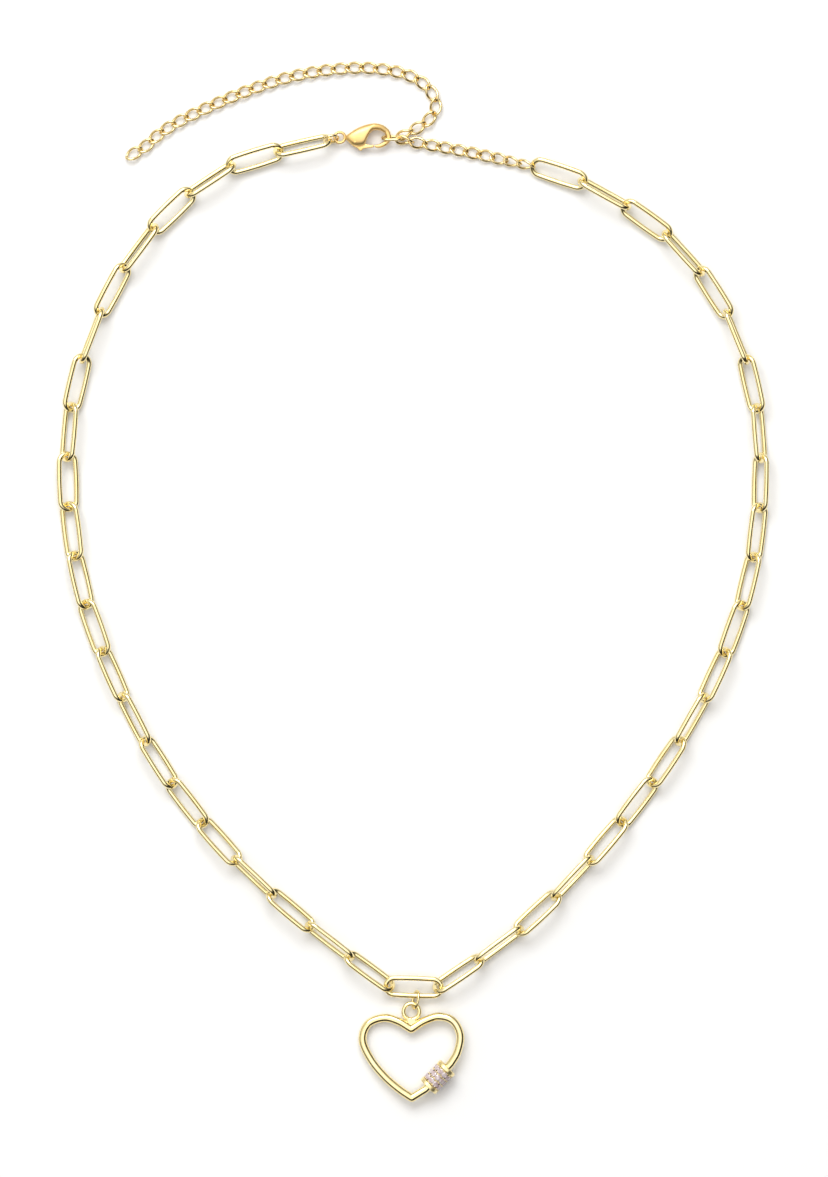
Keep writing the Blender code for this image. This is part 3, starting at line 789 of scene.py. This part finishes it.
def build_sleeve():
    """The barrel's sleeve: a flared bore, a narrow waist for the stones, and a flange at each end."""
    half, inner = BARREL_LENGTH / 2, BARREL_LENGTH / 2 - FLANGE_LENGTH
    rim, rounded = BARREL_RADIUS, BARREL_RADIUS - FLANGE_ROUNDING
    wider, reach = BORE_LEAD_IN
    profile = [
        (BARREL_BORE, reach - half), (BARREL_BORE + wider, -half), (rounded, -half),
        (rim, -half + FLANGE_ROUNDING), (rim, -inner - FLANGE_ROUNDING), (rounded, -inner),
        (BARREL_WAIST, -inner), (BARREL_WAIST, inner), (rounded, inner), (rim, inner + FLANGE_ROUNDING),
        (rim, half - FLANGE_ROUNDING), (rounded, half),
        (BARREL_BORE + wider, half), (BARREL_BORE, half - reach),
    ]
    bm = bmesh.new()
    turned_ring(bm, profile, barrel_place())
    sleeve = make_object("barrel_sleeve", bm, SLEEVE_GOLD, 40)
    bevel = sleeve.modifiers.new("soft edges", "BEVEL")
    bevel.width = 0.03 * MM
    bevel.segments = 2
    bevel.limit_method = "ANGLE"
    bevel.angle_limit = math.radians(35)
    place(sleeve, "screw_sleeve", "gold", "screw_sleeve")


def build_stone_band():
    """The seat between the flanges, its rows of stones, and the beads that hold them."""
    where = barrel_place()
    seat = BARREL_RADIUS - SEAT_DEPTH
    edge = BARREL_LENGTH / 2 - FLANGE_LENGTH - SEAT_GAP
    bm = bmesh.new()
    turned_ring(bm, [(SEAT_BORE, -edge), (seat, -edge), (seat, edge), (SEAT_BORE, edge)], where)
    place(make_object("stone_seat", bm, SLEEVE_GOLD, 40), "stone_band", "gold", "stone_band")

    row_pitch = 2 * edge / STONE_ROWS
    around = 2 * math.pi / STONES_ROUND
    for row in range(STONE_ROWS):
        height = -edge + row_pitch * (row + 0.5)
        for k in range(STONES_ROUND):
            angle = around * (k + 0.5 * (row % 2))
            stone(f"stone_{row + 1}_{k + 1:02d}", where, angle, height, row_pitch * STONE_FILL, seat)
    bm = bmesh.new()
    out = seat + BEAD_STAND
    for row in range(STONE_ROWS + 1):
        height = -edge + row_pitch * row
        height = max(-edge + BEAD_MARGIN, min(edge - BEAD_MARGIN, height))
        for k in range(2 * STONES_ROUND):
            angle = around * (0.5 * k + 0.25)
            spot = Matrix.Translation(where @ Vector((out * math.cos(angle), out * math.sin(angle), height)))
            bmesh.ops.create_icosphere(bm, subdivisions=2, radius=BEAD_RADIUS, matrix=spot)
    place(make_object("stone_beads", bm, SLEEVE_GOLD), "stone_band", "gold")


def stone(name, where, angle, height, radius, seat):
    """A round cut stone: eight-sided table, crown facets, girdle and pavilion, standing out from its seat."""
    out = Vector((math.cos(angle), math.sin(angle), 0))
    frame_turn = Matrix((UP, out.cross(UP), out)).transposed().to_4x4()
    local = where @ Matrix.Translation(out * seat + UP * height) @ frame_turn
    bm = bmesh.new()
    rings = []
    for share, level, count, shift in STONE_LEVELS:
        reach = share * radius
        rings.append([
            bm.verts.new(local @ Vector((reach * math.cos(a), reach * math.sin(a), level)))
            for a in (2 * math.pi * (k + shift) / count for k in range(count))
        ])
    point, low, high, crown, top = rings
    for k in range(16):
        bm.faces.new((point[0], low[k], low[k - 1]))
        bm.faces.new((low[k - 1], low[k], high[k], high[k - 1]))
    for k in range(8):
        a, b, c = high[2 * k], high[(2 * k + 1) % 16], high[(2 * k + 2) % 16]
        bm.faces.new((a, b, crown[k]))
        bm.faces.new((b, c, crown[(k + 1) % 8]))
        bm.faces.new((b, crown[(k + 1) % 8], crown[k]))
        bm.faces.new((crown[k], crown[(k + 1) % 8], top[k]))
        bm.faces.new((crown[k], top[k], top[k - 1]))
    bm.faces.new(top)
    piece = make_object(name, bm, STONE)
    piece.data.shade_flat()
    place(piece, "stone_band", "stones")


def build_pendant_ring():
    turn = axes(PENDANT_RING_ALONG, PENDANT_RING_LEAN)
    ring = split_ring("pendant_ring_wire", PENDANT_RING_AT, turn, *PENDANT_RING_HALF, PENDANT_RING_WIRE,
                      GOLD, PENDANT_RING_GAP_AT)
    place(ring, "pendant_jump_ring", "gold", "pendant_jump_ring")


# ---------------------------------------------------------------- stage

def area_light(name, at, size, energy, colour=(1, 1, 1)):
    """A rectangular light that faces the middle of the necklace."""
    data = bpy.data.lights.new(name, "AREA")
    data.shape = "RECTANGLE"
    data.size, data.size_y = size
    data.energy = energy
    data.color = colour
    obj = bpy.data.objects.new(name, data)
    obj.location = at
    obj.rotation_euler = (-Vector(at)).to_track_quat("-Z", "Y").to_euler()
    bpy.context.scene.collection.objects.link(obj)


def build_floor():
    bm = bmesh.new()
    bmesh.ops.create_grid(bm, x_segments=2, y_segments=2, size=FLOOR_HALF)
    floor = make_object("floor", bm, floor_material())
    floor.location.z = FLOOR_LEVEL * MM


def build_lights():
    """A dome shaded from dark to bright, one key light and one large light overhead."""
    world = bpy.data.worlds.new("studio")
    bpy.context.scene.world = world
    world.use_nodes = True
    tree = world.node_tree
    shader = tree.nodes["Background"]
    where = tree.nodes.new("ShaderNodeTexCoord")
    facing = tree.nodes.new("ShaderNodeVectorMath")
    facing.operation = "DOT_PRODUCT"
    facing.inputs[1].default_value = Vector(BRIGHT_SIDE).normalized()
    ramp = tree.nodes.new("ShaderNodeValToRGB")
    tree.links.new(where.outputs["Generated"], facing.inputs[0])
    tree.links.new(facing.outputs["Value"], ramp.inputs["Fac"])
    tree.links.new(ramp.outputs["Color"], shader.inputs["Color"])
    bar = ramp.color_ramp
    while len(bar.elements) < len(STUDIO_STOPS):
        bar.elements.new(0.5)
    for element, (at, value) in zip(bar.elements, STUDIO_STOPS):
        element.position = at
        element.color = (*(value * tint for tint in STUDIO_TINT), 1)
    shader.inputs["Strength"].default_value = STUDIO_STRENGTH

    area_light("key", at=(-0.2, 0.75, 0.95), size=(1.0, 0.6), energy=9.5, colour=(0.96, 0.98, 1.0))
    area_light("overhead", at=(0.0, -0.1, 1.5), size=(1.5, 1.5), energy=5)


def build_camera():
    data = bpy.data.cameras.new("camera")
    distance = CAMERA_AT.z - NECKLACE_LEVEL
    data.sensor_fit = "VERTICAL"
    data.sensor_height = SENSOR
    data.lens = SENSOR * distance / VIEW_HEIGHT
    data.clip_start, data.clip_end = CLIP
    camera = bpy.data.objects.new("camera", data)
    camera.location = CAMERA_AT
    bpy.context.scene.collection.objects.link(camera)
    bpy.context.scene.camera = camera


bpy.context.scene.view_settings.view_transform = "Standard"
build_camera()
build_floor()
build_lights()
build_paperclip_links()
build_extender()
build_clasp_body()
build_gate()
build_rivet()
build_spring()
build_clasp_ring()
build_heart_wire()
build_bail()
build_stud_thread()
build_sleeve()
build_stone_band()
build_pendant_ring()
bpy.context.view_layer.update()
